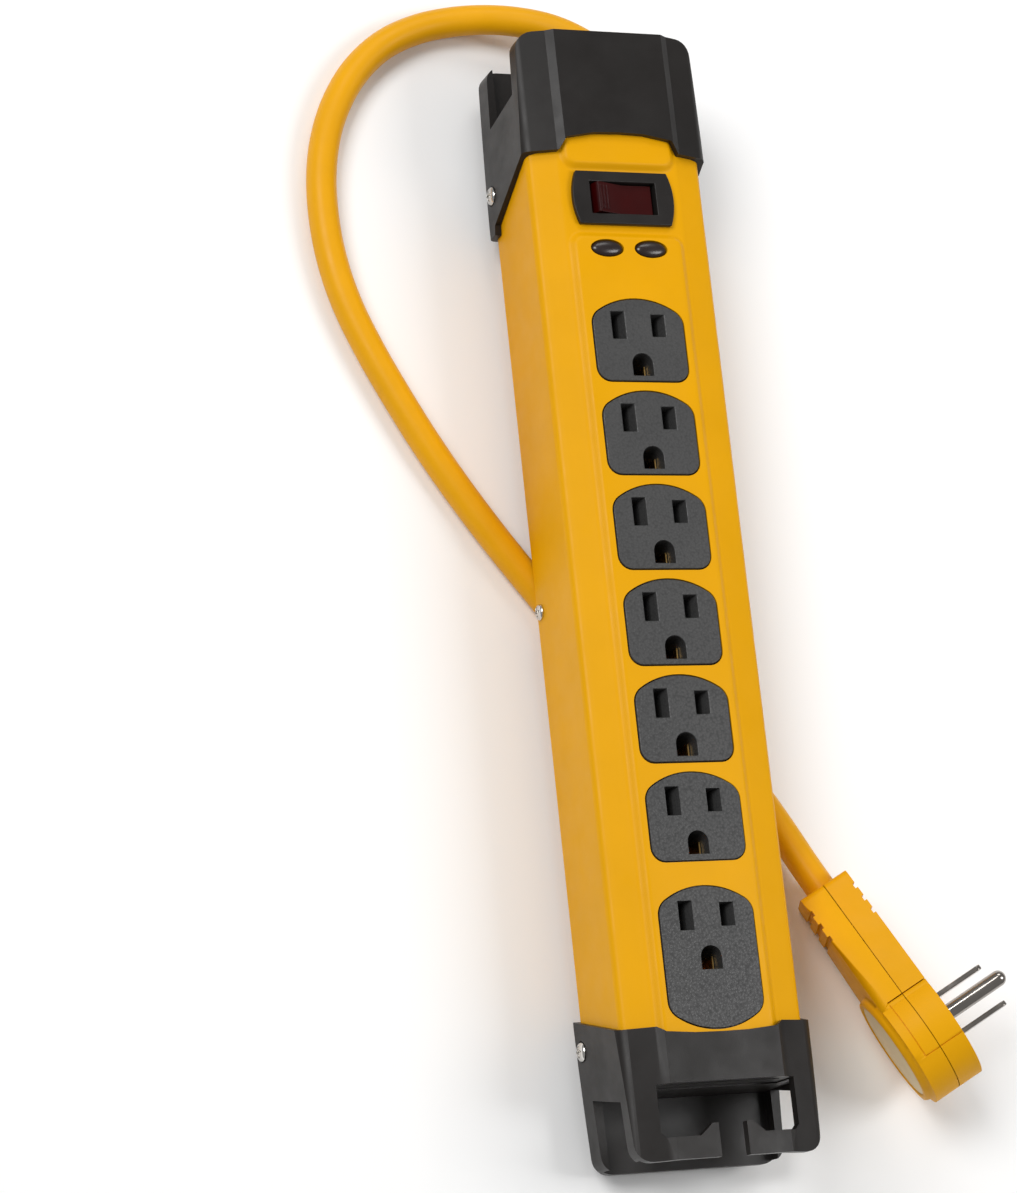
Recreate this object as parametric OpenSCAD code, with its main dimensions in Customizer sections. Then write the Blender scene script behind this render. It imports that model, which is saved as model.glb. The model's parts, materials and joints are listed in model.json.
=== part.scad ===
// Metal power strip with seven outlets, end caps with cord-wrap channels, and a rotating flat plug.
// The strip lies on its feet: Y runs along it, the outlets face +Z, and Z = 0 is the surface it stands on.

/* [Housing] */
// Length over both end caps
strip_l = 336; // [334:1:340]
// Width of the steel housing
body_w = 56; // [55:0.5:57]
// Height of the raised centre panel above the surface
panel_z = 43.2; // [43:0.1:44]
// Height of the housing's back above the surface
back_z = 10; // [9.8:0.1:10.2]
// Thickness of the sheet steel
sheet_t = 1.2; // [1:0.1:1.4]
// Height of the centre panel above the shoulders
panel_rise = 1.5; // [1.2:0.1:1.8]

/* [Outlets] */
// Place of the first outlet's blade slots
first_slot_y = 75.4; // [74:0.1:77]
// Distance between the first six outlets
outlet_pitch = 28.54; // [28:0.02:29]
// Distance from the sixth outlet to the wide-spaced seventh
last_pitch = 32.9; // [32:0.1:33]
// Distance between the two blade slots
slot_gap = 12.7; // [12.5:0.1:12.9]
// Distance from the blade slots' centres to the ground hole
ground_drop = 11.9; // [11.7:0.1:12.1]

/* [Switch] */
// Place of the rocker switch
switch_y = 115.4; // [115:0.1:116]
// Angle that the rocker turns from off to on
rocker_travel = 18; // [14:1:20]

/* [End caps] */
// Wall that the caps add outside the housing
cap_t = 1.9; // [1.7:0.1:2.1]
// Depth of the cord-wrap channel, from the cap's end
channel_l = 20.6; // [19:0.1:22]
// Height of the caps' back face above the surface
cap_z = 8; // [7.6:0.1:8.2]

/* [Plug] */
// Radius of the plug's round head
head_r = 19; // [18.5:0.1:19.5]
// Distance from the head's centre to the tail's end
tail_l = 51; // [50:0.5:53]
// Half the thickness of the plug
plug_half = 8; // [7.8:0.1:8.4]
// Radius of the rotating disc
disc_r = 13.3; // [13:0.1:13.5]
// Length of the blades outside the disc
blade_l = 17.5; // [17:0.5:18]

/* [Hidden] */

fine = 48;
fit = 0.12;                       // gap between parts that sit in each other
yellow = [0.95, 0.68, 0.02];
black = [0.13, 0.12, 0.12];
grey = [0.27, 0.27, 0.27];
nickel = [0.75, 0.74, 0.72];
brass = [0.82, 0.66, 0.32];

half_l = strip_l / 2;
half_w = body_w / 2;
housing_l = 278;                  // the housing ends inside the caps
shoulder_z = panel_z - panel_rise;
corner_r = 2.5;
corner_x = half_w - corner_r;
corner_z = panel_z - 6.4;
corner_turn = 71.6;               // from the side wall round to the sloping shoulder
ridge_foot = 18.7;
ridge_top = 16.4;
dip_low = 105;                    // the flat stretch around the switch, between the raised panels
dip_high = 124.5;
panel_corner = 4.5;

slot_y = [for (i = [0:5]) first_slot_y - i * outlet_pitch];
last_slot_y = slot_y[5] - last_pitch;
outlet_y = concat(slot_y, [last_slot_y]);
face_z = panel_z + 0.3;           // the outlet faces stand just proud of the panel
face_depth = 12;
face_w = 28.8;
face_up = 8.1;                    // from the blade slots up to the top of the arch
face_down = 17.2;
wide_face_down = 32;
rim_gap = 0.4;
lens_y = 99.5;
lens_x = 7;
tray_top = face_z - face_depth - 0.2;
tray_z = 17;

pivot_z = 38.5;
pivot_r = 1;
bezel_hole = [21, 10];
bezel_z = panel_z - panel_rise;
housing_screw_y = -3.6;
screw_z = 13;
top_screw_y = 126.7;
bottom_screw_y = -133.1;

exit_x = 18;                      // where the cord leaves the top cap
exit_y = 143;
exit_z = 21;
cord_r = 4.6;

// The cord's centre line: strain relief first, then over the cap's end, round the loop,
// under the housing and up into the plug's tail.
relief_route = [[18, 143, 21], [18, 148, 21], [17.2, 155.9, 20.6], [14.7, 163.5, 19.6]];
cord_route = [
    [14.7, 163.5, 19.6], [10.7, 170.3, 18.2], [4.4, 177.1, 16], [-3.9, 182.4, 13.4],
    [-13.4, 185.6, 10.6], [-24, 187, 8], [-35, 186.5, 5.8], [-46, 183.8, 4.8], [-56.5, 178.5, 4.7],
    [-65.5, 170.5, 4.7], [-72.5, 160.5, 4.7], [-77.5, 149, 4.7], [-80.3, 136.5, 4.7],
    [-81, 123, 4.7], [-79.8, 109, 4.7], [-76.5, 95, 4.7], [-71, 81, 4.7], [-64, 66.5, 4.7],
    [-56, 51.5, 4.7], [-47, 36.5, 4.7], [-37, 21.5, 4.7], [-26.5, 7, 4.7], [-18.5, -3.5, 4.7],
    [-9, -13.5, 4.7], [2, -22.5, 4.7], [13, -31.5, 4.7], [23.5, -41, 4.7], [32, -51, 5],
    [38.1, -60, 6.1], [43.3, -70.2, 8], [48.4, -81.1, 10.1], [52.3, -89, 11.7],
    [54.9, -94.3, 12.7]];

head_at = [74.46, -134.05, 20.61]; // the plug lies on the back rims of its head and tail
plug_turn = 119.9;
plug_tilt = -10.7;
plug_lean = -20;                  // its top leans back, so that the prongs point up
shell_wall = 2.2;
front_wall = 2.5;
blade_t = 1.52;
blade_w = 6.35;
pin_r = 2.38;
pin_neck_r = 2;                   // where the ground pin sits in the disc
blade_row = -4;                   // the blades' line, below the disc's centre
pin_row = blade_row + ground_drop;
plug_screw_at = [[21, 5], [21, -5], [30, 7.6], [30, -7.6]];
grip_x = [36.5, 41, 45.5];

// ---------------------------------------------------------------- shared shapes

function arc(cx, cy, r, a0, a1, n) =
    [for (i = [0:n]) let (a = a0 + (a1 - a0) * i / n) [cx + r * cos(a), cy + r * sin(a)]];

function rounded_box(w, h, r) = concat(
    arc(w / 2 - r, h / 2 - r, r, 0, 90, 6), arc(r - w / 2, h / 2 - r, r, 90, 180, 6),
    arc(r - w / 2, r - h / 2, r, 180, 270, 6), arc(w / 2 - r, r - h / 2, r, 270, 360, 6));

// Right half of the housing's cross-section, grown outward by d, from zlow up to the shoulder's top
function half_section(d, zlow) = concat(
    [[half_w + d, zlow]], arc(corner_x, corner_z, corner_r + d, 0, corner_turn, 5),
    [[ridge_foot + 0.4 * d, shoulder_z + d]]);

function mirrored(pts) = concat(pts, [for (i = [len(pts) - 1:-1:0]) [-pts[i][0], pts[i][1]]]);

// Extrudes an X-Z outline along Y, and a Y-Z outline along X
module along_y(y0, y1) { translate([0, y1, 0]) rotate([90, 0, 0]) linear_extrude(y1 - y0) children(); }
module along_x(x0, x1) { translate([x0, 0, 0]) rotate([90, 0, 90]) linear_extrude(x1 - x0) children(); }

// A raised panel from y_far to its sloping end at y_end, with rounded corners there
module raised_panel(d, y_far, y_end) {
    foot = ridge_foot + 0.4 * d;
    top = ridge_top + 0.4 * d;
    side = sign(y_end - y_far);
    edge = y_end + side * d;
    low = shoulder_z - 5;
    high = panel_z + 5;
    lean = side * (high - shoulder_z) * 1.1;
    corner = arc(foot - panel_corner, abs(edge - y_far) - panel_corner, panel_corner, 0, 90, 5);
    intersection() {
        along_y(-half_l, half_l)
            polygon([[foot, shoulder_z + d - 1], [foot, shoulder_z + d], [top, panel_z + d],
                     [-top, panel_z + d], [-foot, shoulder_z + d], [-foot, shoulder_z + d - 1]]);
        along_x(-half_w, half_w)
            polygon([[y_far, low], [edge, low], [edge, shoulder_z + d], [edge - lean, high + d],
                     [y_far, high + d]]);
        linear_extrude(high + 10)
            polygon([for (c = mirrored(concat([[foot, 0]], corner))) [c[0], y_far + side * c[1]]]);
    }
}

// The housing's outer form grown by d: shoulders, and the two raised panels with sloping ends
module housing_form(d, y0, y1, zlow) {
    along_y(y0, y1) polygon(mirrored(half_section(d, zlow)));
    if (y0 < dip_low) raised_panel(d, y0, dip_low);
    raised_panel(d, y1, dip_high);
}

// Outline of an outlet face about its blade slots: an arched top and a flat or arched bottom
function outlet_outline(down, arched, grow) = let (
    hw = face_w / 2 + grow, up = face_up + grow, dn = down + grow,
    big = 22, r = 5 + grow,
    rise = sqrt((big - r) * (big - r) - (hw - r) * (hw - r)),
    turn = atan2(rise, hw - r), low_r = 4 + grow)
    concat(
        arc(hw - r, up - big + rise, r, 0, turn, 5), arc(0, up - big, big, turn, 180 - turn, 10),
        arc(r - hw, up - big + rise, r, 180 - turn, 180, 5),
        arched ? concat(
            arc(r - hw, big - dn - rise, r, 180, 180 + turn, 5),
            arc(0, big - dn, big, 180 + turn, 360 - turn, 10),
            arc(hw - r, big - dn - rise, r, 360 - turn, 360, 5))
        : concat(arc(low_r - hw, low_r - dn, low_r, 180, 270, 5),
                 arc(hw - low_r, low_r - dn, low_r, 270, 360, 5)));

function bezel_outline(w, h, bow) = let (r = (h * h / 4 + bow * bow) / (2 * bow), a = asin(h / 2 / r))
    concat(arc(w / 2 - r, 0, r, -a, a, 10), arc(r - w / 2, 0, r, 180 - a, 180 + a, 10));

function ellipse(w, h) = [for (i = [0:35]) [w / 2 * cos(i * 10), h / 2 * sin(i * 10)]];

// A tube of varying radius swept along a route, with a flat ring at each point
function unit(v) = v / norm(v);
function heading(p, i) = unit(p[min(i + 1, len(p) - 1)] - p[max(i - 1, 0)]);
function ring(p, i, r, n) = let (
    t = heading(p, i), side = unit(cross(t, [0, 0, 1])), up = cross(side, t))
    [for (k = [0:n - 1]) let (a = 360 * (k + 0.5) / n) p[i] + r * (cos(a) * side + sin(a) * up)];

module swept_tube(p, r0, r1, n = 12) {
    rings = len(p);
    pts = [for (i = [0:rings - 1]) each ring(p, i, r0 + (r1 - r0) * i / (rings - 1), n)];
    walls = [for (i = [0:rings - 2]) for (k = [0:n - 1]) let (a = i * n + k, b = i * n + (k + 1) % n)
             each [[a, b, b + n], [a, b + n, a + n]]];
    first = [for (k = [n - 1:-1:0]) k];
    last = [for (k = [0:n - 1]) (rings - 1) * n + k];
    polyhedron(points = pts, faces = concat(walls, [first], [last]), convexity = 6);
}

// A cross-head screw pointing along -Z, with its head's seat at the origin
module screw(head_r, head_h, shank_r, shank_l) {
    difference() {
        union() {
            translate([0, 0, -shank_l]) cylinder(r = shank_r, h = shank_l, $fn = fine);
            rotate_extrude($fn = fine)
                polygon(concat([[0, 0], [head_r, 0], [head_r, head_h * 0.35]],
                               [for (a = [20:20:80]) [head_r * cos(a), head_h * (0.35 + 0.65 * sin(a))]],
                               [[0, head_h]]));
        }
        for (a = [0, 90]) rotate(a)
            translate([-head_r * 0.62, -head_r * 0.13, head_h * 0.45])
                cube([head_r * 1.24, head_r * 0.26, head_h]);
    }
}

// ---------------------------------------------------------------- housing

module outlet_hole(i, grow, z0, z1) {
    last = i == 6;
    translate([0, outlet_y[i], z0]) linear_extrude(z1 - z0)
        polygon(outlet_outline(last ? wide_face_down : face_down, last, grow));
}

module front_housing() color(yellow) {
    difference() {
        housing_form(0, -housing_l / 2, housing_l / 2, back_z);
        housing_form(-sheet_t, -housing_l / 2 - 1, housing_l / 2 + 1, back_z - 1);
        for (i = [0:6]) outlet_hole(i, rim_gap, panel_z - 4, panel_z + 2);
        translate([0, switch_y, shoulder_z - 3]) linear_extrude(6) polygon(rounded_box(27.8, 14.6, 1));
        for (s = [-1, 1]) {
            translate([s * lens_x, lens_y, panel_z - 4]) linear_extrude(8) polygon(ellipse(10.6, 5.6));
            for (y = [housing_screw_y, top_screw_y, bottom_screw_y])
                translate([s * half_w, y, screw_z]) rotate([0, 90, 0])
                    cylinder(r = 1.65, h = 8, center = true, $fn = fine);
        }
    }
}

module back_plate() color(yellow) {
    w = half_w - sheet_t - 0.2;
    difference() {
        along_y(-housing_l / 2, housing_l / 2)
            polygon([[-w, back_z], [w, back_z], [w, back_z + 7], [w - sheet_t, back_z + 7],
                     [w - sheet_t, back_z + sheet_t], [sheet_t - w, back_z + sheet_t],
                     [sheet_t - w, back_z + 7], [-w, back_z + 7]]);
        for (s = [-1, 1]) for (y = [housing_screw_y, top_screw_y, bottom_screw_y])
            translate([s * w, y, screw_z]) rotate([0, 90, 0])
                cylinder(r = 1.55, h = 6, center = true, $fn = fine);
    }
}

// ---------------------------------------------------------------- end caps

// A cap about the +Y end. Its mouth slants along the sides, from mouth_back up to mouth_front,
// with an ear of height ear_h at its foot, ear_l long.
module end_cap(mouth_front, mouth_back, mouth_arch, ear_h, ear_l, wall_y, screw_y, cuts_window) {
    out = cap_t + 0.3;
    open_y = half_l - channel_l;
    opening_z = cap_z + 7.5;
    low_r = 2;
    tip_r = 5;
    end_w = half_w + 0.4;
    mouth_w = half_w + out;
    difference() {
        intersection() {
            along_y(mouth_back - 1, half_l + 1) polygon(mirrored(concat(
                arc(half_w + out - low_r, cap_z + low_r, low_r, -90, 0, 4),
                arc(corner_x, corner_z, corner_r + out, 0, corner_turn, 6),
                [[ridge_foot + 1, shoulder_z + cap_t], [ridge_top + 1, panel_z + cap_t]])));
            along_x(-40, 40) polygon([
                [mouth_back, 0], [mouth_back, cap_z + ear_h], [mouth_back + ear_l, cap_z + ear_h + 0.5],
                [mouth_front, corner_z + 3], [mouth_front, 60], [half_l, 60], [half_l, 0]]);
            linear_extrude(60) polygon(concat(
                [[-mouth_w, mouth_back - 1], [mouth_w, mouth_back - 1]],
                arc(end_w - tip_r, half_l - tip_r, tip_r, 0, 90, 6),
                arc(tip_r - end_w, half_l - tip_r, tip_r, 90, 180, 6)));
        }
        // the sleeve around the housing's end
        housing_form(fit, mouth_back - 5, housing_l / 2 + fit, back_z - fit);
        // the mouth's arch across the raised panel
        translate([0, mouth_front, 30]) linear_extrude(20) polygon([
            [-ridge_foot - 0.5, -1], [ridge_foot + 0.5, -1], [ridge_foot + 0.5, 0],
            [ridge_top + 0.5, mouth_arch * 0.65], [ridge_top * 0.5, mouth_arch * 0.95], [0, mouth_arch],
            [-ridge_top * 0.5, mouth_arch * 0.95], [-ridge_top - 0.5, mouth_arch * 0.65],
            [-ridge_foot - 0.5, 0]]);
        // the cord-wrap channel, open at both sides and the end
        intersection() {
            housing_form(-1, wall_y, half_l + 5, cap_z + 3);
            translate([-26.2, 0, 0]) cube([52.4, half_l + 5, 60]);
        }
        along_x(-40, 40) polygon([[open_y, opening_z], [open_y + 3, opening_z + 20],
                                  [half_l + 5, opening_z + 20], [half_l + 5, opening_z]]);
        for (s = [-1, 1]) {
            translate([s * (half_w + 1), screw_y, screw_z]) rotate([0, 90, 0])
                cylinder(r = 1.75, h = 10, center = true, $fn = fine);
            translate([s * (half_w + 1.3 + 2.5), screw_y, screw_z]) rotate([0, 90, 0])
                cylinder(r = 3.1, h = 5, center = true, $fn = fine);
            translate([s * 19, half_l - 11, cap_z - 1]) cylinder(r = 2.5, h = 3, $fn = fine);
        }
        if (cuts_window) window_cut();
    }
}

// The window through the bottom cap's front wall and the gap between its two hooks
module window_cut() {
    top_y = 147;
    low_y = 161.8;
    tip_y = 158.6;
    half = 21;
    gap = 4.3;
    translate([0, 0, 32]) linear_extrude(20) polygon([
        [-half, top_y], [half, top_y], [half, low_y - 1.5], [half - 1.5, low_y], [gap + 5.5, low_y],
        [gap + 1.8, tip_y], [gap, tip_y], [gap, half_l + 1], [-gap, half_l + 1], [-gap, tip_y],
        [-gap - 1.8, tip_y], [-gap - 5.5, low_y], [1.5 - half, low_y], [-half, low_y - 1.5]]);
}

// A keyhole for a wall screw's head, with its slot towards +Y
module keyhole(y) {
    translate([0, y, cap_z - 1]) {
        cylinder(r = 4.4, h = 6, $fn = fine);
        translate([0, 7.5, 0]) cylinder(r = 2.2, h = 6, $fn = fine);
        translate([-2.2, 0, 0]) cube([4.4, 7.5, 6]);
    }
}

module top_end_cap() color(black) difference() {
    end_cap(130, 114, 5.6, 5.5, 3, exit_y, top_screw_y, false);
    keyhole(154);
    translate([exit_x, exit_y, exit_z]) rotate([90, 0, 0])
        cylinder(r = 6.1, h = 12, center = true, $fn = fine);
}

module bottom_end_cap() color(black) mirror([0, 1, 0])
    end_cap(131, 124, 2.4, 1, 0.2, half_l - channel_l, -bottom_screw_y, true);

module rubber_feet() color([0.08, 0.08, 0.08])
    for (sx = [-1, 1]) for (sy = [-1, 1]) translate([sx * 19, sy * (half_l - 11), 0]) {
        linear_extrude(cap_z) polygon(rounded_box(11, 17, 3));
        cylinder(r = 2.45, h = cap_z + 1.8, $fn = fine);
    }

// ---------------------------------------------------------------- outlets and contacts

module tapered_slot(x, len) {
    translate([x, 0, 0]) {
        translate([-1.2, -len / 2, face_z - face_depth - 1]) cube([2.4, len, face_depth + 2]);
        along_y(-len / 2, len / 2)
            polygon([[-1.2, face_z - 3.5], [1.2, face_z - 3.5], [2.2, face_z + 0.1], [-2.2, face_z + 0.1]]);
    }
}

module ground_well() {
    r = 3.2;
    translate([0, -ground_drop, face_z - face_depth - 1]) linear_extrude(face_depth + 2)
        polygon(concat(arc(0, 0, r, 0, 180, 12), [[-r, -3.6], [r, -3.6]]));
}

module outlet_face(i) color(grey) {
    last = i == 6;
    down = last ? wide_face_down : face_down;
    difference() {
        union() {
            outlet_hole(i, 0, face_z - face_depth, face_z);
            translate([0, outlet_y[i], panel_z - sheet_t - 2.4]) linear_extrude(2.2)
                polygon(outlet_outline(down - 0.2, last, 1));
        }
        translate([0, outlet_y[i], 0]) {
            tapered_slot(-slot_gap / 2, 8.4);
            tapered_slot(slot_gap / 2, 6.8);
            ground_well();
        }
    }
}

module outlet_face_1() outlet_face(0);
module outlet_face_2() outlet_face(1);
module outlet_face_3() outlet_face(2);
module outlet_face_4() outlet_face(3);
module outlet_face_5() outlet_face(4);
module outlet_face_6() outlet_face(5);
module outlet_face_7() outlet_face(6);

// The insulating tray under the outlets, with a channel for each bus bar
module outlet_tray() color([0.16, 0.16, 0.17]) {
    y0 = -131;
    y1 = 83;
    difference() {
        translate([-20, y0, tray_z]) cube([40, y1 - y0, tray_top - tray_z]);
        translate([-3.4, y0 + 2, tray_z + 2.5]) cube([6.8, y1 - y0 - 4, 20]);
        for (s = [-1, 1]) {
            translate([s * 6.35 - 2.2, y0 + 2, tray_z + 2.5]) cube([4.4, y1 - y0 - 4, 20]);
            translate([s * 14.3 - 4.2, y0 + 2, tray_z + 2.5]) cube([8.4, y1 - y0 - 4, 20]);
        }
    }
    for (y = [-118, -28, 62]) translate([-20, y, back_z + sheet_t + fit])
        cube([40, 6, tray_z - back_z - sheet_t - fit]);
}

// A bus bar with a pair of spring leaves at every outlet
module bus(x, y_shift, half_gap, leaf_l, top) {
    base = tray_z + 2.6;
    translate([x - half_gap - 0.4, outlet_y[6] + y_shift - 8, base])
        cube([2 * half_gap + 0.8, outlet_y[0] - outlet_y[6] + 12, 0.8]);
    for (y = outlet_y) for (s = [-1, 1])
        translate([x + s * (half_gap + 0.2) - 0.2, y + y_shift - leaf_l / 2, base])
            cube([0.4, leaf_l, top - base]);
}

module hot_bus() color(brass) bus(slot_gap / 2, 0, 1.3, 6, tray_top - 0.4);
module neutral_bus() color(brass) bus(-slot_gap / 2, 0, 1.3, 6, tray_top - 0.4);
module ground_bus() color(brass) bus(0, -ground_drop - 1.2, 2.5, 4.2, face_z - 5.5);

// ---------------------------------------------------------------- switch

module switch_bezel() color(black) translate([0, switch_y, 0]) difference() {
    union() {
        translate([0, 0, bezel_z + 0.05]) linear_extrude(1.7) polygon(bezel_outline(32.4, 16.6, 1.6));
        translate([0, 0, 36.2]) linear_extrude(bezel_z - 36) polygon(rounded_box(27, 14, 0.8));
    }
    translate([-bezel_hole[0] / 2, -bezel_hole[1] / 2, 30]) cube([bezel_hole[0], bezel_hole[1], 20]);
    translate([0, 0, pivot_z]) rotate([90, 0, 0]) cylinder(r = pivot_r, h = 13, center = true, $fn = fine);
}

module breaker_body() color([0.1, 0.1, 0.11]) difference() {
    translate([0, switch_y, 19]) linear_extrude(17.1) polygon(rounded_box(27, 14, 0.8));
    translate([-bezel_hole[0] / 2, switch_y - bezel_hole[1] / 2, 31.5])
        cube([bezel_hole[0], bezel_hole[1], 10]);
}

module breaker_terminals() color(brass)
    for (x = [-9, 0, 9]) translate([x - 0.4, switch_y - 3, 13]) cube([0.8, 6, 5.9]);

// The rocker's section about its pivot: ends on an arc, and a top that falls to its middle
module rocker() color([0.22, 0.02, 0.02])
translate([0, switch_y, pivot_z]) rotate([0, rocker_travel / 2, 0]) {
    end_r = 10.15;
    mid = 3.2;
    half_y = bezel_hole[1] / 2 - 0.3;
    tip_x = 9;
    tip_z = mid + tip_x * tan(rocker_travel / 2);
    top = atan2(tip_z, tip_x);
    difference() {
        union() {
            along_y(-half_y, half_y) polygon(concat(
                arc(0, 0, end_r, -24, top, 6), [[0, mid]], arc(0, 0, end_r, 180 - top, 204, 6)));
            for (i = [0:2]) translate([-8.3 + i * 1.2, 0, mid + (8.3 - i * 1.2) * tan(rocker_travel / 2)])
                cube([0.45, 2 * half_y - 2, 0.7], center = true);
        }
        rotate([90, 0, 0]) cylinder(r = pivot_r + 0.05, h = 12, center = true, $fn = fine);
    }
}

module rocker_pin() color(nickel) translate([0, switch_y, pivot_z]) rotate([90, 0, 0])
    cylinder(r = pivot_r, h = 13, center = true, $fn = fine);

// ---------------------------------------------------------------- lamps and surge board

module lens(x) color([0.06, 0.04, 0.04]) {
    translate([x, lens_y, panel_z - 3]) linear_extrude(3.2) polygon(ellipse(10, 5));
    translate([x, lens_y, panel_z - 3]) linear_extrude(1.2) polygon(ellipse(11.6, 6.4));
}
module ground_lens() lens(-lens_x);
module protection_lens() lens(lens_x);

module indicator_leds() color([0.5, 0.75, 0.5])
    for (s = [-1, 1]) translate([s * lens_x, lens_y, 33.7]) {
        cylinder(r = 2.5, h = 4, $fn = fine);
        translate([0, 0, 4]) sphere(r = 2.4, $fn = fine);
    }

module surge_board() color([0.1, 0.35, 0.15]) difference() {
    translate([-19, 86, 32]) cube([38, 20, 1.6]);
    for (s = [-1, 1]) translate([s * 16.5, 89, 30]) cylinder(r = 1.6, h = 6, $fn = fine);
}

module varistors() color([0.1, 0.25, 0.6])
    for (x = [-11, 0, 11]) translate([x, 92, 24.8]) rotate([90, 0, 0]) {
        cylinder(r = 5.5, h = 3.6, center = true, $fn = fine);
        for (s = [-1, 1]) translate([s * 2.5, 4, 0]) rotate([-90, 0, 0])
            translate([0, 0, -3.15]) cylinder(r = 0.4, h = 3, center = true, $fn = 16);
    }

module thermal_fuse() color(nickel) translate([0, 101, 29.7]) rotate([0, 90, 0])
    cylinder(r = 2, h = 10, center = true, $fn = fine);

// Hot to the breaker, neutral and ground to their bus bars
module inner_leads() color([0.15, 0.15, 0.15]) {
    swept_tube([[20.5, 132.4, 22.5], [19.5, 129.6, 21], [16, 124.5, 17], [11.2, 117, 15.5]], 1.6, 1.6, 8);
    swept_tube([[15.5, 132, 22.5], [0, 129.5, 20.5], [-16, 126.5, 19], [-21.5, 120, 18.6],
                [-22.4, 112, 18.6], [-22.4, 60, 18.6]], 1.6, 1.6, 8);
    swept_tube([[18, 132, 18], [10, 130, 15.6], [-8, 126.5, 14.8], [-16, 121, 14.8],
                [-18, 112, 14.8], [-16, 100, 14.6], [-8, 90, 14.4]], 1.6, 1.6, 8);
}

// ---------------------------------------------------------------- cord

module cord_gland() color(black) translate([exit_x, exit_y, exit_z]) rotate([90, 0, 0]) {
    cylinder(r = 6, h = 9, $fn = fine);
    translate([0, 0, 4]) cylinder(r = 8.2, h = 3.4, $fn = 6);
}

module strain_relief() color(yellow) swept_tube(relief_route, 7.4, 5.4, 16);
module cord() color(yellow) swept_tube(cord_route, cord_r, cord_r);

// ---------------------------------------------------------------- fasteners

module cap_screws() color(nickel)
    for (s = [-1, 1]) for (y = [top_screw_y, bottom_screw_y])
        translate([s * (half_w + 1.35), y, screw_z]) rotate([0, s * 90, 0]) screw(2.75, 1.7, 1.45, 8);

module housing_screws() color(nickel)
    for (s = [-1, 1]) translate([s * (half_w + 0.02), housing_screw_y, screw_z]) rotate([0, s * 90, 0])
        screw(2.4, 1.5, 1.45, 6);

// ---------------------------------------------------------------- plug

// Places children drawn about the head's centre: +Z out of the prong face, +X along the tail
module in_plug() translate(head_at) rotate([0, 0, plug_turn]) rotate([90 + plug_lean, 0, 0])
    rotate([0, 0, plug_tilt]) children();

module plug_form(shrink, z0, z1) {
    tail = tail_l - shrink;
    translate([0, 0, z0]) {
        cylinder(r = head_r - shrink, h = z1 - z0, $fn = 96);
        linear_extrude(z1 - z0) polygon(concat(
            [[10, shrink - 16.2]], arc(tail - 2, 2 - 9.7 + shrink, 2, -80, 0, 4),
            arc(tail - 2, 9.7 - shrink - 2, 2, 0, 80, 4), [[10, 16.2 - shrink]]));
    }
}

module grip_cuts(side) for (x = grip_x)
    translate([x, 0, side * (plug_half + 0.4)]) cube([1.7, 40, 2.4], center = true);

module cord_bore() translate([tail_l - 12, 0, 0]) rotate([0, 90, 0])
    cylinder(r = cord_r + 0.05, h = 20, $fn = fine);

module plug_front_shell() color(yellow) in_plug() difference() {
    plug_form(0, 0.12, plug_half);
    difference() {
        plug_form(shell_wall, -1, plug_half - front_wall);
        for (p = plug_screw_at) translate([p[0], p[1], 0]) cylinder(r = 2.9, h = 20, $fn = fine);
        translate([tail_l - 9, -20, -2]) cube([20, 40, 20]);
    }
    translate([0, 0, 3]) cylinder(r = disc_r + 0.3, h = 10, $fn = 96);
    for (p = plug_screw_at) translate([p[0], p[1], -1]) {
        cylinder(r = 1.35, h = 20, $fn = fine);
        translate([0, 0, plug_half - 1]) cylinder(r = 2.7, h = 10, $fn = fine);
    }
    grip_cuts(1);
    cord_bore();
}

module plug_back_shell() color(yellow) in_plug() difference() {
    union() {
        plug_form(0, -plug_half, -0.12);
        translate([0, 0, -plug_half - 2.2]) cylinder(r1 = 16.8, r2 = 17.8, h = 2.3, $fn = 96);
    }
    difference() {
        plug_form(shell_wall, shell_wall - plug_half, 1);
        translate([0, 0, -plug_half]) cylinder(r = 5, h = 4.6, $fn = fine);
        for (p = plug_screw_at) translate([p[0], p[1], -plug_half]) cylinder(r = 2.9, h = 20, $fn = fine);
        translate([tail_l - 9, -20, -20]) cube([20, 40, 21]);
    }
    translate([0, 0, 2 - plug_half]) cylinder(r = 3.06, h = 10, $fn = fine);
    translate([0, 0, -plug_half - 3]) cylinder(r = 15.1, h = 1.6, $fn = 96);
    for (p = plug_screw_at) translate([p[0], p[1], -6]) cylinder(r = 1.2, h = 20, $fn = fine);
    grip_cuts(-1);
    cord_bore();
}

module plug_label() color([0.93, 0.85, 0.65]) in_plug()
    translate([0, 0, -plug_half - 1.95]) cylinder(r = 14.9, h = 0.5, $fn = 96);

module plug_disc() color(yellow) in_plug() difference() {
    union() {
        translate([0, 0, 2.8]) cylinder(r = disc_r, h = plug_half - 2.4, $fn = 96);
        translate([0, 0, 2.8]) cylinder(r = 15.4, h = 2.4, $fn = 96);
        translate([0, 0, -2.8]) cylinder(r = 5.4, h = 6, $fn = fine);
        translate([0, 0, 2.4 - plug_half]) cylinder(r = 3, h = 6, $fn = fine);
    }
    for (s = [-1, 1]) translate([s * slot_gap / 2 - blade_t / 2, blade_row - blade_w / 2, 2])
        cube([blade_t, blade_w, 10]);
    translate([0, pin_row, 2]) cylinder(r = pin_neck_r, h = 10, $fn = fine);
}

module blade(x) color(nickel) in_plug() translate([x - blade_t / 2, blade_row, 0]) {
    tip = plug_half + 0.4 + blade_l;
    h = blade_w / 2;
    rotate([90, 0, 90]) linear_extrude(blade_t)
        polygon([[-h, 2.8], [h, 2.8], [h, tip - 1.5], [h - 1.2, tip], [1.2 - h, tip], [-h, tip - 1.5]]);
}
module hot_blade() blade(slot_gap / 2);
module neutral_blade() blade(-slot_gap / 2);

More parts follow.
